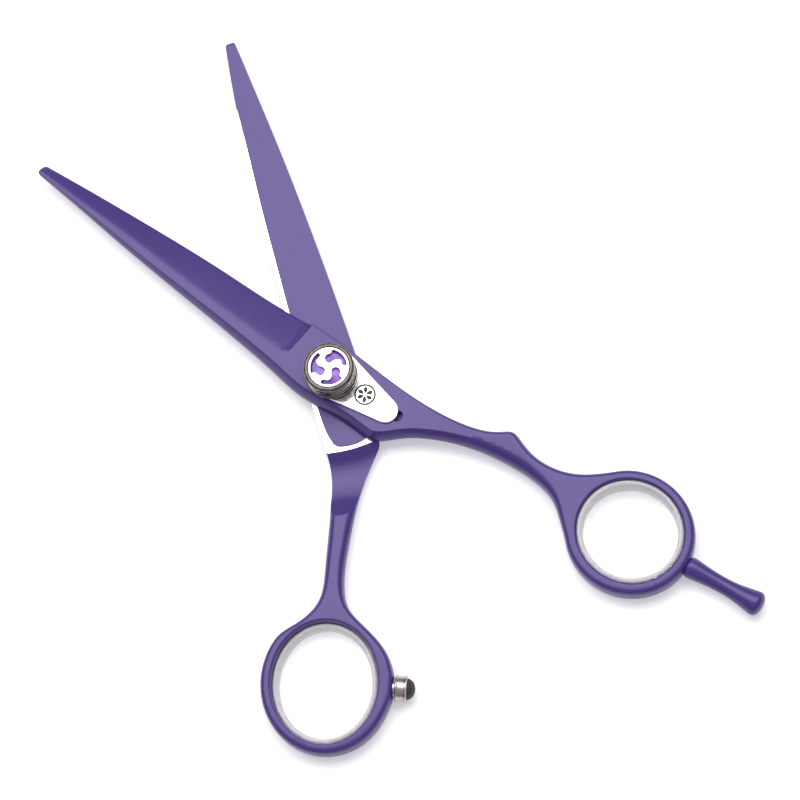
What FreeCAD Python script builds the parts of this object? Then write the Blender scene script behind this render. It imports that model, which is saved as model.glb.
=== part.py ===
"""Hairdressing shears with an offset handle: two forged halves turning on a threaded pivot.

Millimetres. The origin is on the pivot axis, in the plane that the shears lie on (the underside
of the pivot bolt's head). +Z is up, and +Y is halfway between the two blades as they stand open.

Each half is drawn in its own flat frame first: pivot at the origin, +Y along the line that both
halves share when the shears are closed. It is then turned about Z to its stored place. The
finger half lies on top and its cutting edge is on its +X side. The thumb half lies below and its
cutting edge is on its -X side.
"""
import FreeCAD, Part
import math
import os

V = FreeCAD.Vector
UP = V(0, 0, 1)
ORIGIN = V(0, 0, 0)

# ---------------------------------------------------------------- driving dimensions
stored_opening = 35.52    # degrees between the blades as stored
blade_reach = 74.9        # pivot to the blunt end of a blade
ride_z = 3.4              # height of the plane where the two halves rub
ride_gap = 0.03           # each inner face stands back this much from that plane
hub_thick = 2.88          # thickness of the finger half at the pivot
thumb_hub_thick = 2.75    # thickness of the thumb half at the pivot
recess_depth = 0.25       # hollow in each inner face, leaving the ride land proud

bolt_shank_r = 2.5
bolt_thread_r = 2.0
bolt_head_r = 3.8
bolt_head_thick = 1.3
bolt_key_half = 3.2       # half the width across the head's two flats
run_fit = 0.03            # radial clearance of the turning fits
bush_outer_r = 3.1

plate_thick = 0.55        # flat tension spring
plate_shift = 0.45        # its centreline lies this far to +X of the pivot
plate_head_r = 5.0
plate_tail_r = 2.5
plate_tail_y = -12.8
locating_hole = (1.0, -15.2)
locating_hole_r = 1.15
locating_pin = (0.9, -14.6)
locating_pin_r = 0.5

washer_r = 4.3
washer_thick = 0.5
dial_r = 4.95
dial_height = 4.7
dial_teeth = 60
knurl_depth = 0.16
dial_wall = 0.7
dial_floor = 1.9          # height of the dial's floor above its lower face
nut_r = 3.3
gem_thick = 1.9
face_thick = 0.65
window_r = 3.54           # how far out the three windows of the face plate reach
window_turn = -53.2       # the dial's angle as stored

ring_low = 0.3            # lower and upper faces of both finger rings
ring_high = 5.3
insert_low = 0.0          # the soft inserts reach below the rings and keep them off the table
finger_insert_high = 5.0  # their upper rims stand inside the rings
thumb_insert_high = 3.8

finger_ring = (9.1, -64.6)
finger_ring_half = (12.1, 12.6)
finger_hole = (9.25, -64.6)
finger_hole_half = (9.95, 10.4)
finger_bore_half = (8.8, 9.2)
thumb_ring = (-18.32, -56.95)
thumb_lean = -17.7        # degrees that the oval's long axis leans from +Y
thumb_ring_half = (12.6, 13.85)
thumb_hole = (-18.62, -56.95)
thumb_hole_half = (10.1, 11.65)
thumb_bore_half = (8.95, 10.45)

rest_lean = 6.8           # degrees that the finger rest leans from -Y towards +X
rest_length = 15.9
rest_stud_r = 1.25
rest_stud_length = 5.2
boss_reach = 12.75        # thumb ring's centre to the flat end of the bumper's boss
boss_drop = 0.95          # the bumper's foot lies this much below the oval's short axis
boss_half = 1.9           # half the width of the boss's flat end
bumper_lean = -22.0       # degrees that the bumper's axis turns from +X
ferrule_r = 2.6
ferrule_length = 2.25
ferrule_neck = 0.35
rubber_r = 2.05
bumper_length = 4.05      # boss to the end of the rubber
bumper_stud_r = 1.0

ring_mid_z = (ring_low + ring_high) / 2
finger_top = ride_z + ride_gap + hub_thick
thumb_low = ride_z - ride_gap - thumb_hub_thick
plate_top = finger_top + plate_thick
dial_low = plate_top + washer_thick + 0.02

# ---------------------------------------------------------------- outlines, in a half's own frame
# Blade stations: y, cutting edge x, ridge x, spine x, thickness, thickness left at the edge.
finger_blade_stations = [
    (10.0, 6.0, -2.4, -6.0, 2.88, 0.75),
    (16.8, 5.4, -2.5, -5.25, 2.75, 0.5),
    (32.0, 4.8, -2.1, -4.3, 2.35, 0.4),
    (50.0, 3.6, -1.2, -3.15, 1.9, 0.32),
    (66.0, 2.2, -0.7, -1.75, 1.5, 0.28),
    (blade_reach, 1.3, -0.2, -1.15, 1.2, 0.25),
]
thumb_blade_stations = [
    (10.0, -5.3, 2.6, 5.3, 2.75, 0.75),
    (18.9, -5.2, 2.4, 4.98, 2.6, 0.5),
    (32.0, -4.6, 2.0, 4.35, 2.3, 0.4),
    (50.0, -3.5, 1.2, 3.2, 1.85, 0.32),
    (66.0, -2.05, 0.7, 1.8, 1.5, 0.28),
    (blade_reach, -1.0, 0.2, 1.05, 1.2, 0.25),
]

# Handle outlines run from the blade's root to the finger ring, one list for each side.
finger_right = [
    (6.0, 10.0), (6.15, 0.0), (5.85, -10.0), (6.15, -19.1), (7.75, -27.25), (10.6, -32.9),
    (11.95, -34.95), (11.66, -36.7), (10.8, -39.8), (10.75, -44.4), (12.77, -50.0),
]
finger_left = [
    (3.0, -52.7), (5.8, -48.5), (6.72, -43.5), (6.16, -36.05), (4.3, -29.0), (1.6, -23.0),
    (-1.7, -18.1), (-4.6, -14.9),
]
finger_join_right = 47.0  # degrees round the finger ring where each side of the shank meets it
finger_join_left = 135.0
finger_hub_left = [(-5.6, -12.6), (-5.55, -8.0), (-6.1, -1.5), (-6.45, 3.5), (-6.0, 10.0)]

thumb_left = [
    (-5.3, 10.0), (-5.35, 0.0), (-5.65, -8.0), (-5.85, -17.2), (-8.15, -24.9), (-12.45, -35.9),
    (-15.45, -41.5), (-20.5, -44.15), (-25.2, -46.1),
]
thumb_right = [
    (-8.72, -48.0), (-10.22, -44.3), (-9.77, -39.75), (-7.15, -33.4), (-3.46, -26.3), (-0.18, -21.1), (4.2, -15.95),
]
thumb_hub_right = [(4.85, -14.1), (5.45, 4.6), (5.3, 10.0)]

# Side view of the two handles: (y, z) points of each stretch's curve, from the hub to the ring. A
# curve starts and ends level, and the lines between curves are level too.
finger_upper = [[(-18.0, finger_top), (-46.0, ring_high)]]
finger_lower = [[(-21.5, ride_z + ride_gap), (-34.0, 0.95), (-46.0, ring_low)]]
scallop_y = -26.6         # where the thumb half's ground scoop meets its round shank
thumb_upper = [
    [(-14.4, ride_z - ride_gap), (-17.4, 2.15), (-20.6, 2.3), (scallop_y, 4.4)],
    [(scallop_y, 4.4), (-46.0, ring_high)],
]
thumb_lower = [[(-13.0, thumb_low), (-42.0, ring_low)]]
handle_start = 10.5
handle_end = -80.0
edge_round = 1.0          # rounded edges of the handles behind the hub

# The hollow in a thumb half's inner face. The finger half's is its mirror image.
hollow_edge_side = [
    (-1.3, 68.0), (-3.0, 48.0), (-3.85, 33.7), (-4.4, 18.6), (-4.7, 6.0), (-4.65, -6.0), (-3.75, -12.4),
]
hollow_tail = [(-3.75, -12.4), (0.0, -13.7), (3.3, -12.6)]
hollow_spine_side = [(3.3, -12.6), (4.2, -6.0), (4.3, 6.0), (4.0, 20.0), (2.5, 48.0), (0.6, 68.0)]


# ---------------------------------------------------------------- helpers
def spline(points):
    """A smooth edge through the points, in the XY plane."""
    curve = Part.BSplineCurve()
    curve.interpolate([V(x, y, 0) for x, y in points])
    return curve.toShape()


def spline_between(points, start_heading, end_heading):
    """A smooth edge through the points that starts and ends along the headings given in degrees."""
    curve = Part.BSplineCurve()
    curve.interpolate(
        Points=[V(x, y, 0) for x, y in points],
        InitialTangent=heading(start_heading),
        FinalTangent=heading(end_heading),
    )
    return curve.toShape()


def line(a, b):
    return Part.makeLine(V(a[0], a[1], 0), V(b[0], b[1], 0))


def arc(a, middle, b):
    return Part.Arc(V(a[0], a[1], 0), V(middle[0], middle[1], 0), V(b[0], b[1], 0)).toShape()


def slab(edges, z_low, z_high):
    """The closed outline made by the edges, as a flat solid between two heights."""
    face = Part.Face(Part.Wire(edges))
    face.translate(V(0, 0, z_low))
    return face.extrude(V(0, 0, z_high - z_low))


def side_edges(curves):
    """Edges in the YZ plane through a side view's curves, from the handle's start to its end."""
    edges = []
    last = V(0, handle_start, curves[0][0][1])
    for points in curves:
        knots = [V(0, y, z) for y, z in points]
        if (knots[0] - last).Length > 1e-6:
            edges.append(Part.makeLine(last, knots[0]))
        curve = Part.BSplineCurve()
        if points[-1][0] == scallop_y:
            curve.interpolate(Points=knots)
        else:
            curve.interpolate(Points=knots, InitialTangent=V(0, -1, 0), FinalTangent=V(0, -1, 0))
        edges.append(curve.toShape())
        last = knots[-1]
    edges.append(Part.makeLine(last, V(0, handle_end, last.z)))
    return edges


def side_band(upper, lower, half_width=45.0):
    """Everything between the upper and lower lines of a side view."""
    top = side_edges(upper)
    bottom = side_edges(lower)
    start = Part.makeLine(V(0, handle_start, lower[0][0][1]), V(0, handle_start, upper[0][0][1]))
    end = Part.makeLine(V(0, handle_end, upper[-1][-1][1]), V(0, handle_end, lower[-1][-1][1]))
    face = Part.Face(Part.Wire(Part.__sortEdges__(top + bottom + [start, end])))
    face.translate(V(-half_width, 0, 0))
    return face.extrude(V(2 * half_width, 0, 0))


def disc(radius, z_low, z_high, centre=(0.0, 0.0)):
    return Part.makeCylinder(radius, z_high - z_low, V(centre[0], centre[1], z_low), UP)


def washer(outer_r, inner_r, z_low, z_high, centre=(0.0, 0.0)):
    return disc(outer_r, z_low, z_high, centre).cut(disc(inner_r, z_low - 1, z_high + 1, centre))


def oval(half, z_low, z_high, centre, lean):
    """An elliptic cylinder whose long half-axis leans from +Y."""
    ellipse = Part.Ellipse(ORIGIN, half[1], half[0]).toShape()
    solid = Part.Face(Part.Wire([ellipse])).extrude(V(0, 0, z_high - z_low))
    solid.rotate(ORIGIN, UP, 90 + lean)
    solid.translate(V(centre[0], centre[1], z_low))
    return solid


def turned(profile, start, direction):
    """A solid of revolution: (distance along the axis, radius) pairs, closed back on the axis."""
    points = [V(r, 0, s) for s, r in profile]
    points = [V(0, 0, profile[0][0])] + points + [V(0, 0, profile[-1][0]), V(0, 0, profile[0][0])]
    corners = [p for i, p in enumerate(points) if i == 0 or (p - points[i - 1]).Length > 1e-9]
    solid = Part.Face(Part.makePolygon(corners)).revolve(ORIGIN, UP, 360)
    solid.Placement = FreeCAD.Placement(start, FreeCAD.Rotation(UP, direction))
    return solid


def place(shape, half):
    """Turn a shape from its half's own frame to where the half is stored."""
    sign = 1 if half == "finger" else -1
    shape.rotate(ORIGIN, UP, sign * stored_opening / 2)
    return shape


def heading(degrees_from_x):
    a = math.radians(degrees_from_x)
    return V(math.cos(a), math.sin(a), 0)


# ---------------------------------------------------------------- the two forged halves
def blade(stations, inner_z, outward):
    """A tapering blade. Its flat inner face is at inner_z, and outward is +1 if its back is above."""
    rings = []
    for y, edge, ridge, spine, thick, edge_thick in stations:
        bevel = 0.3 if spine > edge else -0.3
        section = [
            (edge, 0.0), (edge, edge_thick), (ridge, thick), (spine - bevel, thick),
            (spine, thick - 0.5), (spine, 0.0),
        ]
        points = [V(x, y, inner_z + outward * h) for x, h in section]
        rings.append(Part.makePolygon(points + points[:1]))
    return Part.makeLoft(rings, True, True)


def hollow(mirrored, z_low, z_high):
    sign = -1 if mirrored else 1

    def flip(points):
        return [(sign * x, y) for x, y in points]

    edges = [spline(flip(hollow_edge_side)), spline(flip(hollow_tail)), spline(flip(hollow_spine_side))]
    edges.append(line(flip(hollow_spine_side)[-1], flip(hollow_edge_side)[0]))
    return slab(edges, z_low, z_high)


def round_edges(handle, y_high):
    """Round the long edges of a handle that lie behind y_high."""
    long_edges = [e for e in handle.Edges if e.BoundBox.YMax < y_high and e.BoundBox.YLength > 1.0]
    return handle.makeFillet(edge_round, long_edges)


def on_finger_ring(degrees):
    """A point on the finger ring's outside, and the heading of its edge there going clockwise."""
    a = math.radians(degrees)
    half_x, half_y = finger_ring_half
    point = (finger_ring[0] + half_x * math.cos(a), finger_ring[1] + half_y * math.sin(a))
    return point, math.degrees(math.atan2(-half_y * math.cos(a), half_x * math.sin(a)))


def finger_ring_edge():
    """The part of the finger ring's outside that isn't joined to the shank."""
    half_x, half_y = finger_ring_half
    start = math.radians(finger_join_left - 90)
    end = math.radians(finger_join_right + 270)
    edge = Part.ArcOfEllipse(Part.Ellipse(ORIGIN, half_y, half_x), start, end).toShape()
    edge.rotate(ORIGIN, UP, 90)
    edge.translate(V(finger_ring[0], finger_ring[1], 0))
    return edge


def finger_blade():
    join_right, arriving = on_finger_ring(finger_join_right)
    join_left, leaving = on_finger_ring(finger_join_left)
    plan = slab(
        [
            spline_between(finger_right + [join_right], -90, arriving),
            finger_ring_edge(),
            spline_between([join_left] + finger_left, leaving, 125),
            arc(finger_left[-1], (-5.25, -13.9), finger_hub_left[0]),
            spline(finger_hub_left),
            line(finger_hub_left[-1], finger_right[0]),
        ],
        -1, 9,
    )
    handle = round_edges(plan.common(side_band(finger_upper, finger_lower)), -12.0)
    half = handle.fuse(blade(finger_blade_stations, ride_z + ride_gap, 1))
    half = half.cut(oval(finger_hole_half, -1, 9, finger_hole, 0))
    half = half.cut(hollow(True, 0, ride_z + ride_gap + recess_depth))
    half = half.cut(disc(bush_outer_r, 0, 9))
    half = half.cut(disc(locating_hole_r, finger_top - 1.8, 9, locating_hole))
    seat, out = rest_seat()
    return half.cut(Part.makeCylinder(rest_stud_r, 6.0, seat - out * 3.5, out)).removeSplitter()


def thumb_blade():
    half_x, half_y = thumb_ring_half
    low_right = on_thumb_ring(half_x * 0.8, -half_y * 0.6)
    bottom = on_thumb_ring(0.0, -half_y)
    seat, out = bumper_seat()
    across = heading(bumper_lean + 90) * boss_half
    boss_bottom = (seat - across)[:2]
    boss_top = (seat + across)[:2]
    plan = slab(
        [
            spline(thumb_left + [on_thumb_ring(-half_x, 0.0), on_thumb_ring(-half_x * 0.707, -half_y * 0.707),
                                 bottom, low_right, boss_bottom]),
            line(boss_bottom, boss_top),
            spline([boss_top, on_thumb_ring(half_x * 0.94, half_y * 0.34)] + thumb_right),
            arc(thumb_right[-1], (5.05, -15.2), thumb_hub_right[0]),
            spline(thumb_hub_right),
            line(thumb_hub_right[-1], thumb_left[0]),
        ],
        -1, 9,
    )
    handle = round_edges(plan.common(side_band(thumb_upper, thumb_lower)), -22.0)
    half = handle.fuse(blade(thumb_blade_stations, ride_z - ride_gap, -1))
    half = half.cut(oval(thumb_hole_half, -1, 9, thumb_hole, thumb_lean))
    half = half.cut(hollow(False, ride_z - ride_gap - recess_depth, 9))
    half = half.cut(disc(bolt_shank_r, -1, 9))
    half = half.cut(bolt_head(0.0, bolt_head_thick))
    return half.cut(Part.makeCylinder(bumper_stud_r, 5.0, seat - out * 4.0, out)).removeSplitter()


# ---------------------------------------------------------------- the pivot
def bolt_head(z_low, z_high):
    """The bolt's round head with two flats, which key it into the thumb half."""
    flats = Part.makeBox(2 * bolt_head_r, 2 * bolt_key_half, z_high - z_low, V(-bolt_head_r, -bolt_key_half, z_low))
    return disc(bolt_head_r, z_low, z_high).common(flats)


def pivot_bolt():
    head = bolt_head(0.0, bolt_head_thick)
    head = head.makeChamfer(0.2, [e for e in head.Edges if e.BoundBox.ZMax < 0.01])
    shank = disc(bolt_shank_r, bolt_head_thick, plate_top)
    thread = disc(bolt_thread_r, plate_top, dial_low + dial_floor - 0.1)
    return head.fuse(shank).fuse(thread).removeSplitter()


def pivot_bush():
    return washer(bush_outer_r, bolt_shank_r + run_fit, ride_z + ride_gap + recess_depth, finger_top)


def ride_washer():
    """A thin washer that fills the two hollows round the pivot and keeps the ride even."""
    return washer(3.9, bolt_shank_r, ride_z - ride_gap - recess_depth, ride_z + recess_depth)


def tension_plate():
    """Flat spring under the dial: a round head, straight sides and a round tail."""
    head = (plate_shift, 0.0)
    tail = (plate_shift, plate_tail_y)
    span = -plate_tail_y
    lean = math.asin((plate_head_r - plate_tail_r) / span)
    side = (math.cos(lean), -math.sin(lean))

    def touch(centre, radius, sign):
        return (centre[0] + sign * radius * side[0], centre[1] + radius * side[1])

    edges = [
        arc(touch(head, plate_head_r, -1), (head[0], plate_head_r), touch(head, plate_head_r, 1)),
        line(touch(head, plate_head_r, 1), touch(tail, plate_tail_r, 1)),
        arc(touch(tail, plate_tail_r, 1), (tail[0], plate_tail_y - plate_tail_r), touch(tail, plate_tail_r, -1)),
        line(touch(tail, plate_tail_r, -1), touch(head, plate_head_r, -1)),
    ]
    plate = slab(edges, finger_top, plate_top)
    plate = plate.makeChamfer(0.12, [e for e in plate.Edges if e.BoundBox.ZMin > plate_top - 0.01])
    return plate.cut(disc(bolt_shank_r + run_fit, 0, 9)).cut(disc(locating_pin_r, 0, 9, locating_pin))


def plate_pin():
    """The pin pressed into the plate's tail. It sits in the half's locating hole."""
    return disc(locating_pin_r, finger_top - 1.5, plate_top, locating_pin)


def thrust_washer():
    return washer(washer_r, bolt_thread_r + 0.4, plate_top, plate_top + washer_thick)


def tension_dial():
    """Knurled cup with a low plain flange at its foot and a pocket for the jewel in its top."""
    tips = []
    for i in range(2 * dial_teeth):
        r = dial_r if i % 2 else dial_r - knurl_depth
        a = math.pi * i / dial_teeth
        tips.append(V(r * math.cos(a), r * math.sin(a), dial_low + 0.5))
    knurl = Part.Face(Part.makePolygon(tips + tips[:1])).extrude(V(0, 0, dial_height - 1.0))
    foot = disc(dial_r + 0.1, dial_low, dial_low + 0.5)
    lip = Part.makeCone(dial_r - knurl_depth, dial_r - 0.4, 0.5, V(0, 0, dial_low + dial_height - 0.5), UP)
    cup = foot.fuse(knurl).fuse(lip)
    cup = cup.cut(disc(dial_r - dial_wall - 0.1, dial_low + dial_floor + 0.2, 20))
    return cup.cut(disc(nut_r, 0, 20)).removeSplitter()


def dial_nut():
    """Threaded core pressed into the dial. Its blind thread runs on the bolt."""
    core = disc(nut_r, dial_low, dial_low + dial_floor + 0.2)
    return core.cut(disc(bolt_thread_r + run_fit, 0, dial_low + dial_floor - 0.05))


def gem_disc():
    low = dial_low + dial_floor + 0.2
    return disc(dial_r - dial_wall - 0.1, low, low + gem_thick)


def face_cutout(turn):
    """One comma-shaped window: a round head near the middle and a tail that follows the rim."""
    start, middle, end = (heading(a) * window_r for a in (6.0, 42.0, 78.5))
    inner = spline([
        end[:2], (0.61, 3.25), (0.42, 2.81), (-0.36, 2.45), (-0.74, 1.75), (-0.55, 1.2), (0.11, 0.82), (0.8, 1.26),
        (1.46, 1.55), (2.41, 1.3), (2.6, 0.66), (3.08, 0.2), start[:2],
    ])
    window = slab([arc(start, middle, end), inner], 0, 20)
    window.rotate(ORIGIN, UP, turn)
    return window


def face_plate():
    """Bright disc over the jewel, cut through by three equal windows."""
    low = dial_low + dial_floor + 0.2 + gem_thick
    plate = disc(dial_r - dial_wall - 0.1, low, low + face_thick)
    for i in range(3):
        plate = plate.cut(face_cutout(window_turn + 120 * i))
    return plate


# ---------------------------------------------------------------- inserts, finger rest and bumper
def finger_insert():
    """Soft sleeve pressed into the finger ring."""
    body = oval(finger_hole_half, insert_low, finger_insert_high, finger_hole, 0)
    return body.cut(oval(finger_bore_half, -1, 9, finger_hole, 0))


def thumb_insert():
    """The same sleeve for the oval thumb ring, shorter than the ring is deep."""
    body = oval(thumb_hole_half, insert_low, thumb_insert_high, thumb_hole, thumb_lean)
    return body.cut(oval(thumb_bore_half, -1, 9, thumb_hole, thumb_lean))


def rest_seat():
    """Centre of the finger rest's foot on the ring, and the direction it points."""
    out = heading(-90 + rest_lean)
    return V(finger_ring[0], finger_ring[1], ring_mid_z) + out * (finger_ring_half[1] + 0.05), out


def finger_rest():
    seat, out = rest_seat()
    profile = [
        (0.0, 1.85), (0.35, 2.02), (1.6, 2.0), (3.8, 1.74), (6.0, 1.6), (8.0, 1.6), (10.2, 1.73), (12.4, 2.08),
        (14.2, 2.38), (14.8, 2.36), (15.35, 2.05), (15.75, 1.2), (rest_length, 0.0),
    ]
    socket = Part.makeCylinder(rest_stud_r, rest_stud_length - 2.2, seat, out)
    return turned(profile, seat, out).cut(socket)


def rest_stud():
    seat, out = rest_seat()
    return Part.makeCylinder(rest_stud_r, rest_stud_length, seat - out * 2.2, out)


def on_thumb_ring(out, side):
    """A point given along the oval's short and long axes."""
    point = V(thumb_ring[0], thumb_ring[1], 0) + heading(thumb_lean) * out + heading(thumb_lean + 90) * side
    return (point.x, point.y)


def bumper_seat():
    """Centre of the bumper's foot on the boss, and the direction it points."""
    x, y = on_thumb_ring(boss_reach, -boss_drop)
    return V(x, y, ring_mid_z), heading(bumper_lean)


def bumper_stud():
    seat, out = bumper_seat()
    return Part.makeCylinder(bumper_stud_r, ferrule_neck + 2.9, seat - out * 2.1, out)


def bumper_ferrule():
    """Bright cup screwed to the boss: a narrow neck, then a barrel with a lip at each end."""
    seat, out = bumper_seat()
    end = ferrule_neck + ferrule_length
    profile = [
        (0.0, 1.7), (ferrule_neck, 1.7), (ferrule_neck, 2.35), (ferrule_neck + 0.25, ferrule_r),
        (end - 0.2, ferrule_r), (end, 2.4),
    ]
    cup = turned(profile, seat, out)
    cup = cup.cut(Part.makeCylinder(rubber_r, 2.0, seat + out * (end - 1.3), out))
    return cup.cut(Part.makeCylinder(bumper_stud_r, ferrule_neck + 0.8, seat, out))


def bumper_rubber():
    seat, out = bumper_seat()
    foot = ferrule_neck + ferrule_length - 1.3
    length = bumper_length - foot
    dome = 1.65
    profile = [(0.0, rubber_r)]
    for i in range(7):
        a = math.radians(15 * i)
        profile.append((length - dome + dome * math.sin(a), rubber_r * math.cos(a)))
    profile[-1] = (length, 0.0)
    return turned(profile, seat + out * foot, out)


# ---------------------------------------------------------------- every piece and the half it belongs to
pieces = {
    "finger_blade": (finger_blade, "finger"),
    "finger_insert": (finger_insert, "finger"),
    "finger_rest": (finger_rest, "finger"),
    "rest_stud": (rest_stud, "finger"),
    "pivot_bush": (pivot_bush, "finger"),
    "tension_plate": (tension_plate, "finger"),
    "plate_pin": (plate_pin, "finger"),
    "thrust_washer": (thrust_washer, "finger"),
    "thumb_blade": (thumb_blade, "thumb"),
    "thumb_insert": (thumb_insert, "thumb"),
    "bumper_stud": (bumper_stud, "thumb"),
    "bumper_ferrule": (bumper_ferrule, "thumb"),
    "bumper_rubber": (bumper_rubber, "thumb"),
    "pivot_bolt": (pivot_bolt, "thumb"),
    "ride_washer": (ride_washer, "thumb"),
    "tension_dial": (tension_dial, "finger"),
    "dial_nut": (dial_nut, "finger"),
    "gem_disc": (gem_disc, "finger"),
    "face_plate": (face_plate, "finger"),
}

os.makedirs("parts", exist_ok=True)
for name, (make, half) in pieces.items():
    shape = place(make(), half)
    if shape.ShapeType == "Compound" and len(shape.Solids) == 1:
        shape = shape.Solids[0]
    shape.exportStep("parts/" + name + ".step")
    box = shape.BoundBox
    print(
        "%-15s valid %s solids %d volume %8.2f  z %.2f to %.2f"
        % (name, shape.isValid(), len(shape.Solids), shape.Volume, box.ZMin, box.ZMax)
    )
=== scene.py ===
"""Looks of the hairdressing shears: smooth forged halves, polished pivot, soft ring inserts.

Lengths are millimetres in the outlines and are scaled to metres when a mesh is made. Each half is
drawn flat in its own frame (pivot at the origin, +Y along the closed shears) and then turned about
the pivot by half of the stored opening. The leaf and the dial's pieces take their heights from the
CAD boxes.
"""
import math

import bpy
import numpy as np
from mathutils import Matrix, Vector
from mathutils.geometry import delaunay_2d_cdt


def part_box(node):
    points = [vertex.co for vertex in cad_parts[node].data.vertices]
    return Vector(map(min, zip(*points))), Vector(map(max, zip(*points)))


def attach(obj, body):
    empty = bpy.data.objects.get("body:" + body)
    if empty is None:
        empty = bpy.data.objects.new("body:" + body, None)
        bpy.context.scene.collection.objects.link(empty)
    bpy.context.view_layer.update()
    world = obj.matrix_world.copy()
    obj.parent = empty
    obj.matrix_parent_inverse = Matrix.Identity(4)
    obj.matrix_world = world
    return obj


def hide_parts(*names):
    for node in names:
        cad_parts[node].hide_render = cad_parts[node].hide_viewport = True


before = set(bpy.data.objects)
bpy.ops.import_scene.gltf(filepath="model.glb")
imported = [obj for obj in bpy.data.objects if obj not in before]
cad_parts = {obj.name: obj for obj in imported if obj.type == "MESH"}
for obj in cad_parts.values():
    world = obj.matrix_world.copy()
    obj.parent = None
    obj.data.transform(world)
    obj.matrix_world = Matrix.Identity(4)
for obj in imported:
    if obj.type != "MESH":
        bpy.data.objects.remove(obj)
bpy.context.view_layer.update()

MM = 0.001
stored_opening = 35.52         # degrees between the blades
camera_distance = 0.581        # metres
camera_tilt = 17.5             # degrees off straight down
camera_swing = 20.0            # degrees that the tilt turns to the right of the picture's foot
picture_turn = 35.45           # degrees from the part's +Y to the picture's top
# The picture's middle, in millimetres from the pivot along the picture's own axes.
picture_centre = (12.97, -4.28)


# ---------------------------------------------------------------- curves and loops in a half's plane
def unit(degrees):
    """The unit vector along a heading."""
    a = math.radians(degrees)
    return np.array([math.cos(a), math.sin(a)])


def natural_spline(points, step, start_heading=None, end_heading=None):
    """Points every step or so along a smooth curve, which may leave or arrive along a heading in degrees."""
    p = np.array(points, float)
    t = np.concatenate([[0], np.cumsum(np.linalg.norm(np.diff(p, axis=0), axis=1))])
    n = len(p)
    a = np.eye(n)
    b = np.zeros_like(p)
    h = np.diff(t)
    for i in range(1, n - 1):
        a[i, i - 1 : i + 2] = [h[i - 1], 2 * (h[i - 1] + h[i]), h[i]]
        b[i] = 6 * ((p[i + 1] - p[i]) / h[i] - (p[i] - p[i - 1]) / h[i - 1])
    if start_heading is not None:
        a[0, :2] = [2 * h[0], h[0]]
        b[0] = 6 * ((p[1] - p[0]) / h[0] - unit(start_heading))
    if end_heading is not None:
        a[-1, -2:] = [h[-1], 2 * h[-1]]
        b[-1] = 6 * (unit(end_heading) - (p[-1] - p[-2]) / h[-1])
    m = np.linalg.solve(a, b)
    s = np.linspace(0, t[-1], max(2, int(round(t[-1] / step)) + 1))
    k = np.clip(np.searchsorted(t, s, side="right") - 1, 0, n - 2)
    u, v, hk = (s - t[k])[:, None], (t[k + 1] - s)[:, None], h[k][:, None]
    first = (m[k] * v**3 + m[k + 1] * u**3) / (6 * hk)
    second = (p[k] / hk - m[k] * hk / 6) * v + (p[k + 1] / hk - m[k + 1] * hk / 6) * u
    return first + second


def arc(centre, radius, start, end, step):
    """Points along a circle or an ellipse (radius may be a pair) between two angles in degrees."""
    rx, ry = radius if isinstance(radius, tuple) else (radius, radius)
    n = max(3, int(abs(math.radians(end - start)) * max(rx, ry) / step))
    a = np.radians(np.linspace(start, end, n + 1))
    return np.stack([centre[0] + rx * np.cos(a), centre[1] + ry * np.sin(a)], 1)


def full_circle(centre, radius, step):
    """An open list of points once round a circle or an ellipse."""
    return arc(centre, radius, 0, 360, step)[:-1]


def lean(points, centre, degrees):
    """Points turned about a centre."""
    a = math.radians(degrees)
    turn = np.array([[math.cos(a), -math.sin(a)], [math.sin(a), math.cos(a)]])
    return (np.asarray(points) - centre) @ turn.T + centre


def heading_of(a, b):
    """The heading from a to b, in degrees."""
    return math.degrees(math.atan2(b[1] - a[1], b[0] - a[0]))


def closed(*stretches):
    """One closed loop from stretches that follow each other, with no point repeated."""
    loop = np.concatenate(stretches)
    gap = np.linalg.norm(loop - np.roll(loop, 1, axis=0), axis=1)
    return loop[gap > 0.02]


def table(y, rows):
    """A value read off (y, value) rows by straight lines."""
    r = sorted(rows)
    return np.interp(y, [a for a, _ in r], [b for _, b in r])


def normals(loop):
    """Unit normals on the left of a loop's direction of travel."""
    along = np.roll(loop, -1, axis=0) - np.roll(loop, 1, axis=0)
    left = np.stack([-along[:, 1], along[:, 0]], 1)
    return left / np.linalg.norm(left, axis=1)[:, None]


def nearest(points, loop, is_closed=True):
    """Distance from each point to the polyline, and the index of the nearest corner."""
    a = loop
    b = np.roll(loop, -1, axis=0)
    if not is_closed:
        a, b = loop[:-1], loop[1:]
    ab = b - a
    length2 = np.maximum((ab**2).sum(1), 1e-12)
    distance = np.empty(len(points))
    index = np.empty(len(points), int)
    for start in range(0, len(points), 2000):
        q = points[start : start + 2000]
        s = np.clip(((q[:, None] - a) * ab).sum(2) / length2, 0, 1)
        d = np.linalg.norm(q[:, None] - a - s[:, :, None] * ab, axis=2)
        i = d.argmin(1)
        distance[start : start + 2000] = d[np.arange(len(q)), i]
        index[start : start + 2000] = i
    return distance, index


def inside(points, loop):
    """True for each point that the closed loop goes round."""
    a, b = loop, np.roll(loop, -1, axis=0)
    x, y = points[:, 0][:, None], points[:, 1][:, None]
    crosses = (a[:, 1] > y) != (b[:, 1] > y)
    dy = np.where(b[:, 1] == a[:, 1], 1e-12, b[:, 1] - a[:, 1])
    at = a[:, 0] + (y - a[:, 1]) / dy * (b[:, 0] - a[:, 0])
    return (crosses & (x < at)).sum(1) % 2 == 1


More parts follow.
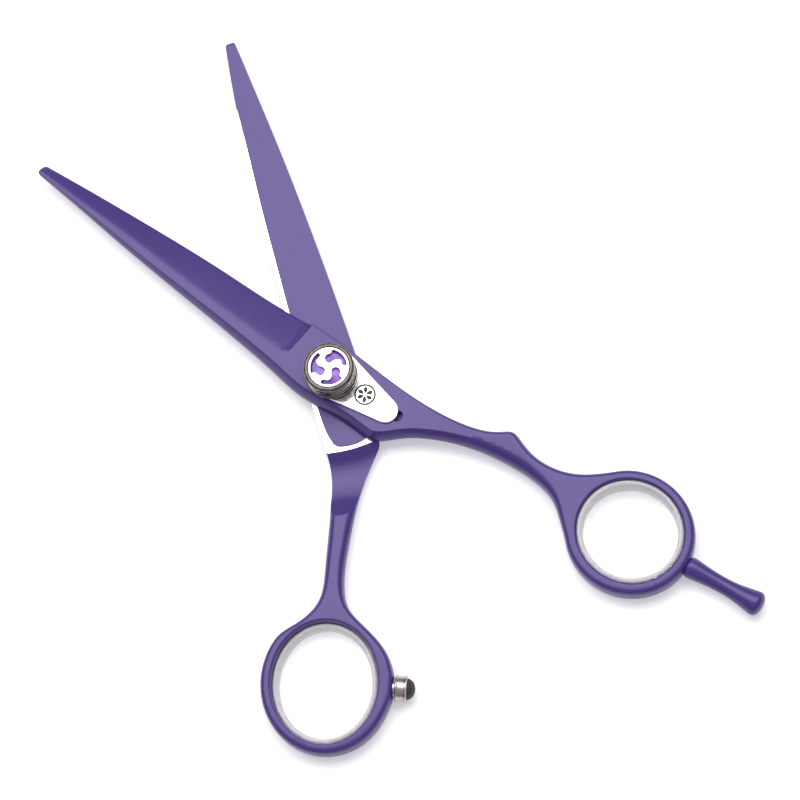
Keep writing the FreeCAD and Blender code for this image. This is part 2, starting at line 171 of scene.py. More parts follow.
# ---------------------------------------------------------------- meshes
def part_materials(mesh, face_material):
    """Keep the shading apart along edges where two materials meet."""
    edge_of = np.empty(len(mesh.loops), np.int32)
    mesh.loops.foreach_get("edge_index", edge_of)
    corners = np.empty(len(mesh.polygons), np.int32)
    mesh.polygons.foreach_get("loop_total", corners)
    kind = np.repeat(face_material, corners)
    low, high = np.full(len(mesh.edges), kind.max()), np.full(len(mesh.edges), kind.min())
    np.minimum.at(low, edge_of, kind)
    np.maximum.at(high, edge_of, kind)
    for i in np.flatnonzero(low != high):
        mesh.edges[i].use_edge_sharp = True


def add_mesh(name, points, faces, body, nodes, materials, face_material=None, sharp=33.0):
    """A smooth-shaded mesh object that rides on a body and stands for the CAD nodes it replaces."""
    mesh = bpy.data.meshes.new(name)
    mesh.from_pydata([tuple(p) for p in points], [], [tuple(int(i) for i in f) for f in faces])
    for material in materials:
        mesh.materials.append(material)
    if face_material is not None:
        mesh.polygons.foreach_set("material_index", np.asarray(face_material, np.int32))
    mesh.shade_smooth()
    mesh.set_sharp_from_angle(angle=math.radians(sharp))
    if face_material is not None:
        part_materials(mesh, np.asarray(face_material))
    mesh.update()
    made = bpy.data.objects.new(name, mesh)
    bpy.context.scene.collection.objects.link(made)
    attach(made, body)
    if nodes:
        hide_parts(*nodes)


def place(points, half):
    """From a half's own frame in millimetres to the row frame in metres."""
    a = math.radians(stored_opening / 2) * (1 if half == "finger" else -1)
    p = np.array(points, float)
    x = p[:, 0] * math.cos(a) - p[:, 1] * math.sin(a)
    y = p[:, 0] * math.sin(a) + p[:, 1] * math.cos(a)
    return np.stack([x, y, p[:, 2]], 1) * MM


def add_to_half(name, half, points, faces, nodes, materials, face_material=None):
    """A piece drawn in a half's own frame, riding on that half."""
    add_mesh(name, place(points, half), faces, half + "_half", nodes, materials, face_material)


def rise(t, power, crease):
    """Height of a rounded side, 0 at the wall and 1 where the side meets the top."""
    t = np.clip(t, 0, 1)
    return (1 - crease) * (1 - (1 - t) ** power) ** (1 / power) + crease * t


class Side:
    """How one loop of an outline is rounded over: for each corner its width, drop, power and crease."""

    def __init__(self, loop, rule):
        self.width, self.drop, self.power, self.crease = (
            np.broadcast_to(np.asarray(v, float), len(loop)).copy() for v in rule
        )


def skin_rows(loop, side, all_loops, fractions):
    """Rows of points inside a loop at fractions of its rounding width, leaving out any that fold over.

    Where the rounding is narrow only every fourth row is made.
    """
    inward = normals(loop)
    rows = []
    for i, k in enumerate(fractions[1:]):
        row = loop + inward * (side.width * k)[:, None]
        away = np.min([nearest(row, other)[0] for other in all_loops], axis=0)
        keep = away > 0.96 * side.width * k
        if i % 4 != 3:
            keep &= side.width > 0.2
        rows.append((row, keep))
    return rows


def skin(loops, sides, crest, up, lines, grid, is_inside, cap=None):
    """One face of a forging as a triangulated height field. Returns points, faces and loop indices.

    crest(points) is the height before the loops are rounded over, and up is +1 for an upper face.
    cap(points), if given, is a surface that cuts off everything above it, rounding and all.
    lines are open polylines that the mesh must follow. All loops have the metal on their left.
    """
    steps = 8
    fractions = [1 - math.cos(math.pi / 2 * k / steps) for k in range(steps + 1)]
    points = [p for loop in loops for p in loop]
    edges = []
    start = 0
    for loop in loops:
        n = len(loop)
        edges += [(start + i, start + (i + 1) % n) for i in range(n)]
        start += n
    for loop, side in zip(loops, sides):
        for row, keep in skin_rows(loop, side, loops, fractions):
            ids = np.full(len(row), -1)
            for i in np.flatnonzero(keep):
                ids[i] = len(points)
                points.append(row[i])
        follow = np.flatnonzero((ids >= 0) & (np.roll(ids, -1) >= 0))
        edges += [(int(ids[i]), int(ids[(i + 1) % len(ids)])) for i in follow]
    for line in lines:
        first = len(points)
        points += list(line)
        edges += [(first + i, first + i + 1) for i in range(len(line) - 1)]
    low, high = loops[0].min(0), loops[0].max(0)
    gx, gy = np.meshgrid(np.arange(low[0], high[0], grid), np.arange(low[1], high[1], grid * 0.866))
    gx[1::2] += grid / 2
    inner = np.stack([gx.ravel(), gy.ravel()], 1)
    inner = inner[is_inside(inner)]
    keep = np.ones(len(inner), bool)
    for loop, side in zip(loops, sides):
        away, index = nearest(inner, loop)
        keep &= away > side.width[index] + 0.3 * grid
    for line in lines:
        keep &= nearest(inner, line, False)[0] > 0.3 * grid
    points += list(inner[keep])
    made = delaunay_2d_cdt([Vector(p) for p in points], edges, [], 0, 1e-4)
    flat = np.array([tuple(v) for v in made[0]])
    faces = np.array([tuple(f) for f in made[2] if len(f) == 3])
    faces = faces[is_inside(flat[faces].mean(1))]
    where = {}
    for new, olds in enumerate(made[3]):
        for old in olds:
            where[old] = new
    blend = np.ones(len(flat))
    total = np.zeros(len(flat))
    weight = np.full(len(flat), 1e-9)
    for loop, side in zip(loops, sides):
        away, index = nearest(flat, loop)
        after = (index + 1) % len(loop)
        ab = loop[after] - loop[index]
        s = np.clip(((flat - loop[index]) * ab).sum(1) / (ab**2).sum(1), 0, 1)
        width, drop, power, crease = (
            v[index] * (1 - s) + v[after] * s for v in (side.width, side.drop, side.power, side.crease)
        )
        f = rise(away / width, power, crease)
        blend *= f
        total += drop * (1 - f)
        weight += 1 - f
    z = crest(flat) - up * total / weight * (1 - blend)
    if cap is not None:
        z = np.minimum(z, cap(flat))
    ring_ids = []
    start = 0
    for loop in loops:
        ring_ids.append([where[start + i] for i in range(len(loop))])
        start += len(loop)
    a, b, c = (flat[faces[:, i]] for i in range(3))
    turn = (b[:, 0] - a[:, 0]) * (c[:, 1] - a[:, 1]) - (b[:, 1] - a[:, 1]) * (c[:, 0] - a[:, 0])
    faces = faces[np.abs(turn) > 1e-9]
    turn = turn[np.abs(turn) > 1e-9]
    flip = turn * up < 0
    faces[flip] = faces[flip][:, ::-1]
    return np.column_stack([flat, z]), faces, ring_ids


def forge(loops, top_rules, bottom_rules, top, bottom, top_lines=(), bottom_lines=(), grid=0.7, cap=None):
    """A closed mesh between two rounded height fields. The first loop is the outside, the rest are holes.

    Returns points, faces, and for each face 1 (upper), -1 (lower) or 0 (wall).
    """
    turned = []
    for i, loop in enumerate(loops):
        area = (loop[:, 0] * np.roll(loop[:, 1], -1) - loop[:, 1] * np.roll(loop[:, 0], -1)).sum()
        wrong = (area < 0) if i == 0 else (area > 0)
        turned.append(wrong)
    loops = [loop[::-1] if wrong else loop for loop, wrong in zip(loops, turned)]
    top_sides = [Side(loop, rule(loop)) for loop, rule in zip(loops, top_rules)]
    bottom_sides = [Side(loop, rule(loop)) for loop, rule in zip(loops, bottom_rules)]
    for loop, upper, lower in zip(loops, top_sides, bottom_sides):
        highest = top(loop) if cap is None else np.minimum(top(loop), cap(loop))
        room = highest - bottom(loop) - 0.03
        scale = np.minimum(1, room / np.maximum(upper.drop + lower.drop, 1e-6))
        upper.drop *= scale
        lower.drop *= scale

    def is_inside(points):
        result = inside(points, loops[0])
        for loop in loops[1:]:
            result &= ~inside(points, loop)
        return result

    upper = skin(loops, top_sides, top, 1, top_lines, grid, is_inside, cap)
    lower = skin(loops, bottom_sides, bottom, -1, bottom_lines, grid, is_inside)
    shift = len(upper[0])
    walls = []
    for top_ring, bottom_ring in zip(upper[2], lower[2]):
        n = len(top_ring)
        for i in range(n):
            j = (i + 1) % n
            walls.append((bottom_ring[i] + shift, bottom_ring[j] + shift, top_ring[j], top_ring[i]))
    points = np.concatenate([upper[0], lower[0]])
    faces = [tuple(f) for f in upper[1]] + [tuple(f + shift) for f in lower[1]] + walls
    part = np.array([1] * len(upper[1]) + [-1] * len(lower[1]) + [0] * len(walls))
    return points, faces, part


def strips(rows, around, first=0, is_closed=False):
    """Quads between rows of points that go round an axis, and from the last row to the first if closed."""
    faces = []
    for i in range(rows if is_closed else rows - 1):
        a, b = first + i * around, first + (i + 1) % rows * around
        faces += [(a + j, a + (j + 1) % around, b + (j + 1) % around, b + j) for j in range(around)]
    return faces


def spin(profile, around=96):
    """A closed solid of revolution about +Z from (height, radius) pairs that start and end on the axis."""
    angles = np.linspace(0, 2 * math.pi, around, endpoint=False)
    points = [(0, 0, profile[0][0])]
    for s, r in profile[1:-1]:
        points += list(np.stack([r * np.cos(angles), r * np.sin(angles), np.full(around, s)], 1))
    points.append((0, 0, profile[-1][0]))
    faces = [(0, 1 + (j + 1) % around, 1 + j) for j in range(around)]
    faces += strips(len(profile) - 2, around, first=1)
    last, a = len(points) - 1, 1 + (len(profile) - 3) * around
    faces += [(a + j, a + (j + 1) % around, last) for j in range(around)]
    return np.array(points, float), faces


def aim(points, start, degrees):
    """Lay a +Z solid down so that it starts at a point and points along a heading in the plane."""
    x, y, z = points.T
    out = unit(degrees)
    side = np.array([-out[1], out[0]])
    flat = np.outer(z, out) + np.outer(x, side)
    return np.column_stack([flat[:, 0] + start[0], flat[:, 1] + start[1], y + start[2]])


def smooth_profile(pairs, step):
    return [tuple(p) for p in natural_spline(pairs, step)]


def sweep_ring(centre, half, lean_degrees, section, around=220):
    """A closed sleeve: section is a closed loop of (distance outside the bore, height) pairs."""
    section = np.array(section)
    angles = np.linspace(0, 2 * math.pi, around, endpoint=False)
    bore = np.stack([half[0] * np.cos(angles), half[1] * np.sin(angles)], 1)
    out = np.stack([np.cos(angles) / half[0], np.sin(angles) / half[1]], 1)
    out /= np.linalg.norm(out, axis=1)[:, None]
    points = []
    for away, z in section:
        ring = lean(bore + out * away + centre, np.array(centre), lean_degrees)
        points.append(np.column_stack([ring, np.full(around, z)]))
    return np.concatenate(points), strips(len(section), around, is_closed=True)


# ---------------------------------------------------------------- materials
def material(name, colour, metallic, roughness, **more):
    made = bpy.data.materials.new(name)
    made.use_nodes = True
    shader = made.node_tree.nodes["Principled BSDF"]
    shader.inputs["Base Color"].default_value = (*colour, 1)
    shader.inputs["Metallic"].default_value = metallic
    shader.inputs["Roughness"].default_value = roughness
    for key, value in more.items():
        shader.inputs[key.replace("_", " ")].default_value = value
    return made


def node(made, kind, **settings):
    added = made.node_tree.nodes.new(kind)
    for key, value in settings.items():
        if key in added.inputs:
            added.inputs[key].default_value = value
        else:
            setattr(added, key, value)
    return added


def link(made, out, into):
    made.node_tree.links.new(out, into)


def spots(made, scale, detail=2.0, stretch=(1, 1, 1)):
    """Noise in the object's own metres, stretched along its axes."""
    where = node(made, "ShaderNodeTexCoord")
    mapping = node(made, "ShaderNodeMapping", Scale=stretch)
    noise = node(made, "ShaderNodeTexNoise", Scale=scale, Detail=detail)
    link(made, where.outputs["Object"], mapping.inputs["Vector"])
    link(made, mapping.outputs["Vector"], noise.inputs["Vector"])
    return noise.outputs["Fac"]


def ramp(made, source, low, high, a=0.3, b=0.7):
    """A colour or grey that runs between two values as the source goes from a to b."""
    colours = node(made, "ShaderNodeValToRGB")
    stops = colours.color_ramp.elements
    stops[0].position, stops[1].position = a, b
    stops[0].color = (*low, 1) if isinstance(low, tuple) else (low, low, low, 1)
    stops[1].color = (*high, 1) if isinstance(high, tuple) else (high, high, high, 1)
    link(made, source, colours.inputs["Fac"])
    return colours.outputs["Color"]


def grain(made, noise, strength, distance):
    bump = node(made, "ShaderNodeBump", Strength=strength, Distance=distance)
    link(made, noise, bump.inputs["Height"])
    link(made, bump.outputs["Normal"], made.node_tree.nodes["Principled BSDF"].inputs["Normal"])


def vary(made, socket, source):
    link(made, source, made.node_tree.nodes["Principled BSDF"].inputs[socket])


def coated_steel():
    made = material(
        "coated_steel", (0.059, 0.032, 0.185), 0.0, 0.3,
        Specular_IOR_Level=0.57, Specular_Tint=(0.8, 0.71, 1.0, 1),
    )
    cloud = spots(made, 90, 3)
    vary(made, "Base Color", ramp(made, cloud, (0.056, 0.03, 0.178), (0.062, 0.034, 0.192)))
    fine = spots(made, 5200, 2)
    vary(made, "Roughness", ramp(made, fine, 0.27, 0.34))
    grain(made, fine, 0.25, 0.00001)
    return made


def bright_steel():
    made = material("bright_steel", (0.86, 0.86, 0.87), 1.0, 0.17)
    lines = spots(made, 1500, 2, (1.0, 0.06, 1.0))
    vary(made, "Roughness", ramp(made, lines, 0.13, 0.24))
    grain(made, lines, 0.12, 0.000006)
    return made


def satin_steel():
    made = material("satin_steel", (0.5, 0.43, 0.41), 1.0, 0.3)
    lines = spots(made, 2500)
    vary(made, "Roughness", ramp(made, lines, 0.26, 0.34))
    grain(made, lines, 0.08, 0.000004)
    return made


# Lighter steel for the dial's knurl tops and foot rim: a painted highlight, mottled at random.
def highlit_steel():
    made = material("highlit_steel", (0.42, 0.37, 0.35), 1.0, 0.3)
    wear = spots(made, 1200, 4)
    vary(made, "Base Color", ramp(made, wear, (0.38, 0.31, 0.29), (0.75, 0.68, 0.65)))
    vary(made, "Roughness", ramp(made, wear, 0.36, 0.24))
    return made


def dark_steel():
    made = material("dark_steel", (0.1, 0.083, 0.08), 1.0, 0.34)
    wear = spots(made, 900, 4)
    vary(made, "Base Color", ramp(made, wear, (0.07, 0.055, 0.053), (0.19, 0.165, 0.155)))
    vary(made, "Roughness", ramp(made, wear, 0.28, 0.44))
    return made


def brass():
    made = material("brass", (0.62, 0.42, 0.16), 1.0, 0.3)
    wear = spots(made, 700, 3)
    vary(made, "Roughness", ramp(made, wear, 0.22, 0.4))
    return made


def jewel():
    made = material("jewel", (0.26, 0.07, 0.62), 0.0, 0.22, Coat_Weight=0.25, Coat_Roughness=0.1)
    flake = node(made, "ShaderNodeTexVoronoi", Scale=1900.0)
    where = node(made, "ShaderNodeTexCoord")
    link(made, where.outputs["Object"], flake.inputs["Vector"])
    depth = spots(made, 420, 2)
    violet = ramp(made, depth, (0.1, 0.022, 0.36), (0.3, 0.11, 0.66), 0.35, 0.66)
    vary(made, "Base Color", violet)
    vary(made, "Roughness", ramp(made, flake.outputs["Distance"], 0.16, 0.34, 0.0, 0.6))
    return made


def nylon():
    made = material("nylon", (0.8, 0.79, 0.76), 0.0, 0.45)
    cloud = spots(made, 400, 3)
    vary(made, "Roughness", ramp(made, cloud, 0.38, 0.52))
    return made


def silicone():
    made = material(
        "silicone", (0.975, 0.945, 0.985), 0.0, 0.35, Transmission_Weight=0.45, IOR=1.41,
        Subsurface_Weight=0.6, Subsurface_Scale=0.003, Subsurface_Radius=(1.0, 0.9, 1.0),
    )
    cloud = spots(made, 350, 3)
    vary(made, "Roughness", ramp(made, cloud, 0.31, 0.4))
    grain(made, cloud, 0.05, 0.00002)
    return made


def rubber():
    made = material("rubber", (0.03, 0.025, 0.028), 0.0, 0.55)
    pores = spots(made, 3500, 3)
    vary(made, "Roughness", ramp(made, pores, 0.45, 0.7))
    grain(made, pores, 0.35, 0.00003)
    return made


def ink():
    made = material("ink", (0.02, 0.018, 0.022), 0.0, 0.5)
    pores = spots(made, 2500, 3)
    vary(made, "Roughness", ramp(made, pores, 0.4, 0.6))
    return made


steel_coat = coated_steel()
steel_bright = bright_steel()
steel_satin = satin_steel()
steel_highlit = highlit_steel()
steel_dark = dark_steel()
brass_core = brass()
gem_violet = jewel()
plastic = nylon()
soft_clear = silicone()
soft_black = rubber()
black_ink = ink()

# The pieces kept as the CAD made them.
kept_pieces = {
    "rest_stud": steel_bright, "ride_washer": steel_bright, "pivot_bolt": steel_bright,
    "plate_pin": steel_bright, "bumper_stud": steel_bright, "pivot_bush": plastic,
    "thrust_washer": plastic, "dial_nut": brass_core,
}
for name, finish in kept_pieces.items():
    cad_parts[name].data.materials.clear()
    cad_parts[name].data.materials.append(finish)


# ---------------------------------------------------------------- dimensions shared by the halves
ride_z = 3.4
ride_gap = 0.03
finger_low = ride_z + ride_gap
thumb_high = ride_z - ride_gap
finger_top = 6.31
thumb_low = 0.62
ring_low, ring_high = 0.3, 5.3
ring_round, hole_round = 1.3, 0.6
ring_drop, ring_power = 2.45, 3.0

finger_ring, finger_ring_half = (9.1, -64.6), (12.1, 12.6)
finger_hole, finger_hole_half, finger_bore_half = (9.25, -64.6), (9.95, 10.4), (8.8, 9.2)
thumb_ring, thumb_ring_half, thumb_lean = (-18.32, -56.95), (12.6, 13.85), -17.7
thumb_hole, thumb_hole_half, thumb_bore_half = (-18.62, -56.95), (10.1, 11.65), (8.95, 10.45)
boss_reach, boss_drop, boss_half = 12.75, 0.95, 1.9
bumper_lean = -22.0

thickness_rows = [(10, 2.88), (16.8, 2.75), (32, 2.35), (50, 1.9), (66, 1.5), (74.9, 1.2)]
keen_rows = [(10, 0.6), (16.8, 0.32), (32, 0.22), (50, 0.18), (74.9, 0.14)]


def soft_corner(s, b=0.12):
    """0 at s = 0 rising to 1 at s = 1, with a rounded start."""
    s = np.clip(s, 0, 1)
    return (np.sqrt(s**2 + b**2) - b) / (math.sqrt(1 + b**2) - b)


def ground(points, sign):
    """Depth of the ground face below a blade's back. sign is +1 where the cutting edge is at +X."""
    x, y = points[:, 0] * sign, points[:, 1]
    ridge = table(y, [(10, -2.4), (16.8, -2.5), (32, -2.1), (50, -1.2), (66, -0.7), (74.9, -0.2)])
    edge = table(y, [(10, 6.0), (16.8, 5.5), (32, 4.8), (50, 3.6), (66, 2.1), (74.9, 1.25)])
    full = table(y, thickness_rows) - table(y, keen_rows)
    depth = full * soft_corner((x - ridge) / (edge - ridge))
    start = shoulder_y(x)
    length = 0.5 + 0.75 * depth
    u = np.clip((y - start) / length, 0, 1)
    return depth * (1 - (1 - u) ** 2)


def shoulder_y(x):
    return 9.5 + 0.05 * (5.7 - x) + 3 * (np.maximum(0, -0.2 - x) / 2.4) ** 2


def shoulder_line(sign):
    x = np.concatenate([np.arange(-2.9, 5.7, 0.3), [5.75]])
    return np.stack([x * sign, shoulder_y(x)], 1)


# ---------------------------------------------------------------- finger half
ring_edge = arc(finger_ring, finger_ring_half, 47, -225, 0.4)
right = natural_spline(
    [(1.25, 74.4), (2.1, 66.0), (3.5, 50.0), (4.7, 32.0), (5.37, 16.8), (5.95, 10.0), (6.15, 0.0),
     (5.85, -10.0), (6.15, -19.1), (7.75, -27.25), (10.6, -32.9), (11.95, -34.95), (11.66, -36.7),
     (10.8, -39.8), (10.75, -44.4), (12.77, -50.0), tuple(ring_edge[0])],
    0.45, end_heading=heading_of(ring_edge[0], ring_edge[1]))
left = natural_spline(
    [tuple(ring_edge[-1]), (3.0, -52.7), (5.8, -48.5), (6.72, -43.5), (6.16, -36.05), (4.3, -29.0),
     (1.6, -23.0), (-1.7, -18.1), (-4.6, -14.9)],
    0.45, start_heading=heading_of(ring_edge[-2], ring_edge[-1]), end_heading=125)
hub_corner = natural_spline(
    [(-4.6, -14.9), (-5.25, -13.9), (-5.6, -12.6)], 0.3, start_heading=125, end_heading=92)
hub_left = natural_spline(
    [(-5.6, -12.6), (-5.55, -8.0), (-6.1, -1.5), (-6.5, 3.5), (-5.9, 10.0), (-5.22, 16.8), (-4.2, 32.0),
     (-3.05, 50.0), (-1.7, 66.0), (-1.12, 74.4)], 0.45, start_heading=92)
tip = natural_spline([(-1.12, 74.4), (-0.92, 74.8), (0.1, 74.9), (1.02, 74.8), (1.25, 74.4)], 0.15)
finger_outline = closed(right, ring_edge[1:-1], left, hub_corner[1:], hub_left[1:], tip[1:])


def blunt(y, value, at_tip):
    """A rounding value that eases to another over the blade's last millimetre."""
    mix = np.clip((y - 73.5) / 0.8, 0, 1)
    return value * (1 - mix) + at_tip * mix


def tip_and_ring(y, in_ring, width, drop, power):
    """A side's width, drop and power, eased off at the blade's tip and set to the ring's own round it."""
    width = np.where(in_ring, ring_round, blunt(y, width, 0.12))
    drop = np.where(in_ring, ring_drop, blunt(y, drop, 0.1))
    return width, drop, np.where(in_ring, ring_power, power)


def finger_sides(upper):
    """Rounding rule for the finger half's outside, on its upper or its lower face."""

    def rule(loop):
        x, y = loop[:, 0], loop[:, 1]
        middle = np.interp(y, [-60, -50, -43.5, -36, -29, -23, -16, 80], [9.1, 8.6, 8.7, 9, 6.6, 4.4, 1.5, 0])
        on_right = x > middle
        in_ring = y < -53
        if upper:
            width = np.where(
                on_right,
                table(y, [(75, 0.1), (12, 0.12), (8, 0.3), (-12, 0.35), (-20, 0.6), (-27, 0.9),
                          (-35, 1.0), (-44, 1.25), (-53, ring_round)]),
                table(y, [(75, 0.3), (50, 0.75), (32, 1.05), (10, 1.4), (-12, 1.4), (-14.9, 1.25),
                          (-29, 1.45), (-40, 1.9), (-48, 1.9), (-53, ring_round)]),
            )
            drop = np.where(
                on_right,
                table(y, [(75, 0.06), (12, 0.06), (8, 0.3), (-12, 0.35), (-20, 0.7), (-27, 1.5),
                          (-36, 2.2), (-53, ring_drop)]),
                table(y, [(75, 0.9), (50, 1.5), (32, 1.9), (10, 2.35), (-14.9, 2.35), (-29, 2.4),
                          (-53, ring_drop)]),
            )
            left_crease = table(y, [(75, 0.6), (-14, 0.6), (-24, 0.5), (-36, 0.2), (-46, 0)])
            crease = np.where(on_right | in_ring, 0, left_crease)
        else:
            width = table(y, [(75, 0.08), (-14, 0.2), (-22, 0.7), (-34, 1.3), (-53, ring_round)])
            drop = table(y, [(75, 0.02), (-14, 0.05), (-22, 0.7), (-34, 2.1), (-53, ring_drop)])
            crease = 0.0
        power = table(y, [(75, 2.0), (-40, 2.0), (-53, ring_power)])
        return *tip_and_ring(y, in_ring, width, drop, power), crease

    return rule


def even(width, drop, power=2.0, crease=0.0):
    """A rounding rule that is the same all round a loop."""
    return lambda loop: (width, drop, power, crease)


locating_hole, locating_hole_r, locating_hole_deep = (1.0, -15.2), 1.15, 1.6
wall_run = 0.04                # how far the hole's wall leans, so that it can be a height


def level(y, rows):
    """A side view's height at y: level outside the rows and smooth between them."""
    ys = [a for a, _ in rows]
    zs = [b for _, b in rows]
    fine = natural_spline([(ys[0] + 4, zs[0])] + rows + [(ys[-1] - 4, zs[-1])], 0.3)[::-1]
    return np.interp(y, fine[:, 0], fine[:, 1], left=zs[-1], right=zs[0])


def finger_upper(points):
    x, y = points[:, 0], points[:, 1]
    z = level(y, [(-20.0, finger_top), (-32.0, 5.86), (-46.0, ring_high)])
    z = np.where(y > 9, finger_low + table(y, thickness_rows) - ground(points, 1), z)
    r = np.hypot(x - locating_hole[0], y - locating_hole[1])
    return z - locating_hole_deep * np.clip((locating_hole_r - r) / wall_run, 0, 1)


# The ride land of an inner face. The hollow starts at the first two curves, along the blade and at its
# foot. The land ends towards the handle at the third.
land_top = 60.5
bowl_deep, step_deep, step_run = 0.07, 0.04, 0.06
ride_curve = natural_spline(
    [(-3.75, -12.55), (-4.3, -10.6), (-4.65, -6.7), (-4.75, -2.4), (-4.7, 6.0), (-4.5, 16.1), (-4.25, 23.0),
     (-3.97, 31.0), (-3.65, 39.0), (-3.07, 49.0), (-2.86, 53.0), (-2.69, 57.0), (-2.49, 61.0), (-2.03, 66.0),
     (-0.95, 75.0)], 0.4)
foot_curve = natural_spline(
    [(-3.75, -12.55), (-3.2, -13.15), (-2.4, -13.5), (0.2, -13.8), (2.6, -13.3), (3.3, -12.9),
     (4.8, -12.6)], 0.3)
end_curve = natural_spline(
    [(-6.2, -13.7), (-4.7, -13.95), (-2.0, -14.35), (1.0, -14.45), (3.7, -14.3), (6.0, -14.2)], 0.35)


def ride_edge(y):
    """The inner boundary of the land's long leg."""
    return np.interp(y, ride_curve[:, 1], ride_curve[:, 0])


def land_tail(x):
    """Where the hollow ends towards the handle: the inner boundary of the land's short leg."""
    return np.interp(x, foot_curve[:, 0], foot_curve[:, 1])


def land_end(x):
    """Where the polished land ends towards the handle and the scoop starts."""
    return np.interp(x, end_curve[:, 0], end_curve[:, 1])


def hollow(points, sign):
    """Depth of the shallow hollow in an inner face, inside its ride land."""
    x, y = points[:, 0] * sign, points[:, 1]
    edge = ride_edge(y)
    spine = table(y, [(75, 0.9), (50, 3.0), (32, 4.2), (10, 5.2), (-14, 5.1)])
    tail = land_tail(x)
    u = np.clip((x - edge) / np.maximum(spine - edge, 0.5), 0, 1)
    v = np.clip((y - tail) / 6.0, 0, 1)
    bowl = bowl_deep * (1 - (2 * u - 1) ** 2) * (1 - (1 - v) ** 2)
    step = step_deep * np.clip(np.minimum((x - edge) / step_run, (y - tail) / step_run), 0, 1)
    open_end = np.clip((62 - y) / 20, 0, 1)
    return np.where((x > edge) & (y > tail), (step + bowl) * open_end, 0)


def hollow_line(sign, inset):
    """The hollow's boundary, moved an inset into the hollow."""
    foot = foot_curve[foot_curve[:, 0] < 4.7]
    line = np.concatenate([foot[::-1], ride_curve[1:][ride_curve[1:, 1] < land_top - 0.5]])
    out = normals(line)
    out[0], out[-1] = out[1], out[-2]
    line = line - out * inset
    return np.stack([line[:, 0] * sign, line[:, 1]], 1)


def on_land(points, sign):
    """True on the polished ride land of an inner face."""
    x, y = points[:, 0] * sign, points[:, 1]
    in_leg = (x < ride_edge(y)) & (y < land_top) & (y > land_end(x))
    in_foot = (y < land_tail(x)) & (y > land_end(x)) & (x < 4.6)
    return in_leg | in_foot


def land_line(sign):
    """The edge between the polished land and the scoop."""
    line = end_curve[np.abs(end_curve[:, 0] + 0.3) < 5.2]
    return np.stack([line[:, 0] * sign, line[:, 1]], 1)


def finger_lower(points):
    x, y = points[:, 0], points[:, 1]
    z = level(y, [(-19.0, finger_low), (-25.0, 2.9), (-34.0, 0.95), (-46.0, ring_low)])
    return np.where(y > -15, finger_low + hollow(points, -1), z)


def add_forging(half, node_name, forged, inner_part, sign):
    """A half's forging, coated all over but for the polished land of its inner face."""
    points, faces, part = forged
    centres = np.array([points[list(f)].mean(0) for f in faces])
    polished = (part == inner_part) & on_land(centres, sign)
    add_to_half(
        half + "_half_forging", half, points, faces, [node_name], [steel_coat, steel_bright],
        polished.astype(int),
    )


bush_hole_r, bolt_hole_r = 3.1, 2.5
pivot_loop = full_circle((0, 0), bush_hole_r, 0.35)
finger_hole_loop = full_circle(finger_hole, finger_hole_half, 0.4)
hole_lines = [arc(locating_hole, locating_hole_r - s, 0, 360, 0.2) for s in (0.0, wall_run)]
hole_sides, pivot_sides = even(0.4, 0.5), even(0.1, 0.05)
forged = forge(
    [finger_outline, finger_hole_loop, pivot_loop],
    [finger_sides(True), hole_sides, pivot_sides],
    [finger_sides(False), hole_sides, pivot_sides],
    finger_upper, finger_lower,
    [shoulder_line(1)] + hole_lines,
    [hollow_line(-1, 0.0), hollow_line(-1, step_run), land_line(-1)],
)
add_forging("finger", "finger_blade", forged, -1, -1)


# ---------------------------------------------------------------- thumb half
def on_thumb_ring(out, side):
    """A point at so much along and across the thumb ring's leaning axes."""
    a = math.radians(thumb_lean)
    return (
        thumb_ring[0] + out * math.cos(a) - side * math.sin(a),
        thumb_ring[1] + out * math.sin(a) + side * math.cos(a),
    )


half_x, half_y = thumb_ring_half
bumper_seat = np.array(on_thumb_ring(boss_reach, -boss_drop))
bumper_out = unit(bumper_lean)
boss_across = boss_half * np.array([-bumper_out[1], bumper_out[0]])
boss_top, boss_bottom = tuple(bumper_seat + boss_across), tuple(bumper_seat - boss_across)
thumb_spine = natural_spline(
    [(1.05, 74.4), (1.8, 66.0), (3.2, 50.0), (4.35, 32.0), (4.98, 18.9), (5.3, 10.0), (5.45, 4.6),
     (4.85, -14.1)], 0.45)
thumb_corner = natural_spline([(4.85, -14.1), (4.7, -15.1), (4.2, -15.95)], 0.3)
thumb_right = natural_spline(
    [(4.2, -15.95), (-0.18, -21.1), (-3.46, -26.3), (-7.15, -33.4), (-9.77, -39.75), (-10.22, -44.3),
     (-8.72, -48.0), on_thumb_ring(half_x * 0.94, half_y * 0.34), boss_top], 0.45)
boss_end = natural_spline([boss_top, boss_bottom], 0.4)
below_boss = natural_spline(
    [boss_bottom, on_thumb_ring(half_x * 0.905, -half_y * 0.43), on_thumb_ring(half_x * 0.8, -half_y * 0.6)],
    0.4)
oval = lean(arc(thumb_ring, thumb_ring_half, -36.87, -217.4, 0.4), np.array(thumb_ring), thumb_lean)
thumb_left = natural_spline(
    [tuple(oval[-1]), (-20.5, -44.15), (-15.45, -41.5), (-12.45, -35.9), (-8.15, -24.9), (-5.85, -17.2),
     (-5.65, -8.0), (-5.35, 0.0), (-5.3, 10.0), (-5.2, 18.9), (-4.62, 32.0), (-3.5, 50.0), (-2.05, 66.0),
     (-1.03, 74.4)],
    0.45, start_heading=heading_of(oval[-2], oval[-1]))
thumb_tip = natural_spline([(-1.03, 74.4), (-0.82, 74.8), (0.0, 74.9), (0.85, 74.8), (1.05, 74.4)], 0.15)
thumb_outline = closed(
    thumb_spine, thumb_corner[1:], thumb_right[1:], boss_end[1:], below_boss[1:], oval[1:],
    thumb_left[1:], thumb_tip[1:])


